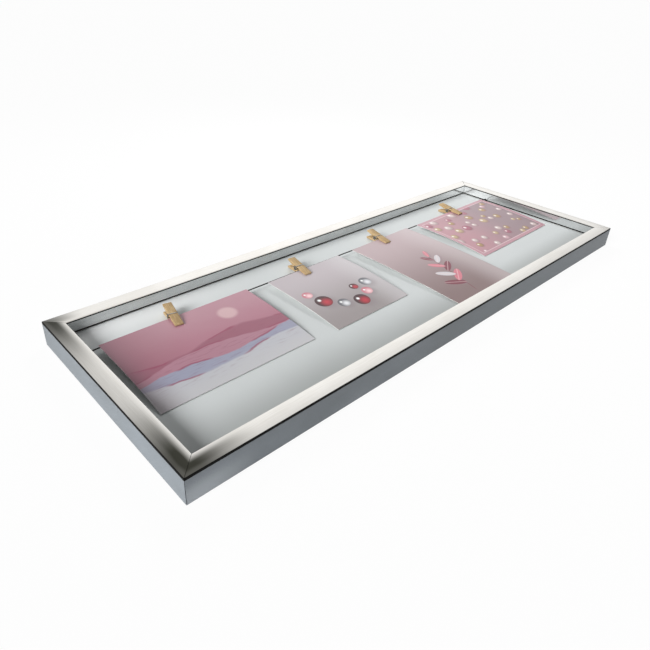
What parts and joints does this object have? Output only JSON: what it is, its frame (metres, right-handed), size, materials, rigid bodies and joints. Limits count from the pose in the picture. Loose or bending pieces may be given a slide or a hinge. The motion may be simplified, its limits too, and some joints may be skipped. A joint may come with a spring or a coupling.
{
  "type": "string clip collage frame",
  "caption": "Long silver picture frame with a pale back, a cord stretched across it, and small wooden spring pegs that hold photo prints.",
  "frame": {"origin": "middle of the back plane on which the rails rest", "axes": "+X along the long rails to the viewer's right, +Y to the top rail, +Z out of the front"},
  "size_m": [0.62, 0.224, 0.0235],
  "materials": {
    "silver_moulding": "brushed silver foil on a black moulding",
    "white_board": "hardboard with a pale matt paper face",
    "steel": "bright zinc",
    "charcoal_cord": "twisted dark cord",
    "peg_wood": "plain pale wood",
    "spring_wire": "bright spring wire",
    "photo_paper": "semi-gloss photo paper"
  },
  "bodies": {
    "frame": {"rail_top": "silver_moulding", "rail_bottom": "silver_moulding", "rail_left": "silver_moulding", "rail_right": "silver_moulding", "backing_board": "white_board", "corner_nail_1": "steel", "corner_nail_2": "steel", "corner_nail_3": "steel", "corner_nail_4": "steel", "board_point_1": "steel", "board_point_2": "steel", "board_point_3": "steel", "board_point_4": "steel", "board_point_5": "steel", "board_point_6": "steel", "board_point_7": "steel", "board_point_8": "steel", "sawtooth_hanger_left": "steel", "sawtooth_hanger_right": "steel", "hanger_tack_1": "steel", "hanger_tack_2": "steel", "hanger_tack_3": "steel", "hanger_tack_4": "steel", "hanging_cord": "charcoal_cord"},
    "peg_1": {"peg_1_back_lever": "peg_wood", "peg_1_spring": "spring_wire", "photo_print_1": "photo_paper"},
    "peg_2": {"peg_2_back_lever": "peg_wood", "peg_2_spring": "spring_wire", "photo_print_2": "photo_paper"},
    "peg_3": {"peg_3_back_lever": "peg_wood", "peg_3_spring": "spring_wire", "photo_print_3": "photo_paper"},
    "peg_4": {"peg_4_back_lever": "peg_wood", "peg_4_spring": "spring_wire", "photo_print_4": "photo_paper"},
    "peg_1_front": {"peg_1_front_lever": "peg_wood"},
    "peg_2_front": {"peg_2_front_lever": "peg_wood"},
    "peg_3_front": {"peg_3_front_lever": "peg_wood"},
    "peg_4_front": {"peg_4_front_lever": "peg_wood"}
  },
  "joints": [
    {"name": "peg_1_slide", "type": "slide", "parent": "frame", "child": "peg_1", "axis": [1, 0, 0], "range_m": [-0.0085, 0.0118]},
    {"name": "peg_2_slide", "type": "slide", "parent": "frame", "child": "peg_2", "axis": [1, 0, 0], "range_m": [-0.0118, 0.0102]},
    {"name": "peg_3_slide", "type": "slide", "parent": "frame", "child": "peg_3", "axis": [1, 0, 0], "range_m": [-0.0102, 0.0082]},
    {"name": "peg_4_slide", "type": "slide", "parent": "frame", "child": "peg_4", "axis": [1, 0, 0], "range_m": [-0.0082, 0.0122]},
    {"name": "peg_1_squeeze", "type": "hinge", "parent": "peg_1", "child": "peg_1_front", "pos_m": [-0.215, 0.0631, 0.0162], "axis": [-0.9781, 0.2079, 0], "range_deg": [0, 22], "stiffness_Nm_per_rad": 0.05, "springref_deg": -28.65, "deforming": ["peg_1_spring"]},
    {"name": "peg_2_squeeze", "type": "hinge", "parent": "peg_2", "child": "peg_2_front", "pos_m": [-0.064, 0.0631, 0.0162], "axis": [-0.9903, 0.1392, 0], "range_deg": [0, 22], "stiffness_Nm_per_rad": 0.05, "springref_deg": -28.65, "deforming": ["peg_2_spring"]},
    {"name": "peg_3_squeeze", "type": "hinge", "parent": "peg_3", "child": "peg_3_front", "pos_m": [0.062, 0.0631, 0.0162], "axis": [-0.9925, 0.1219, 0], "range_deg": [0, 22], "stiffness_Nm_per_rad": 0.05, "springref_deg": -28.65, "deforming": ["peg_3_spring"]},
    {"name": "peg_4_squeeze", "type": "hinge", "parent": "peg_4", "child": "peg_4_front", "pos_m": [0.208, 0.0631, 0.0162], "axis": [-0.9994, 0.0349, 0], "range_deg": [0, 22], "stiffness_Nm_per_rad": 0.05, "springref_deg": -28.65, "deforming": ["peg_4_spring"]}
  ]
}
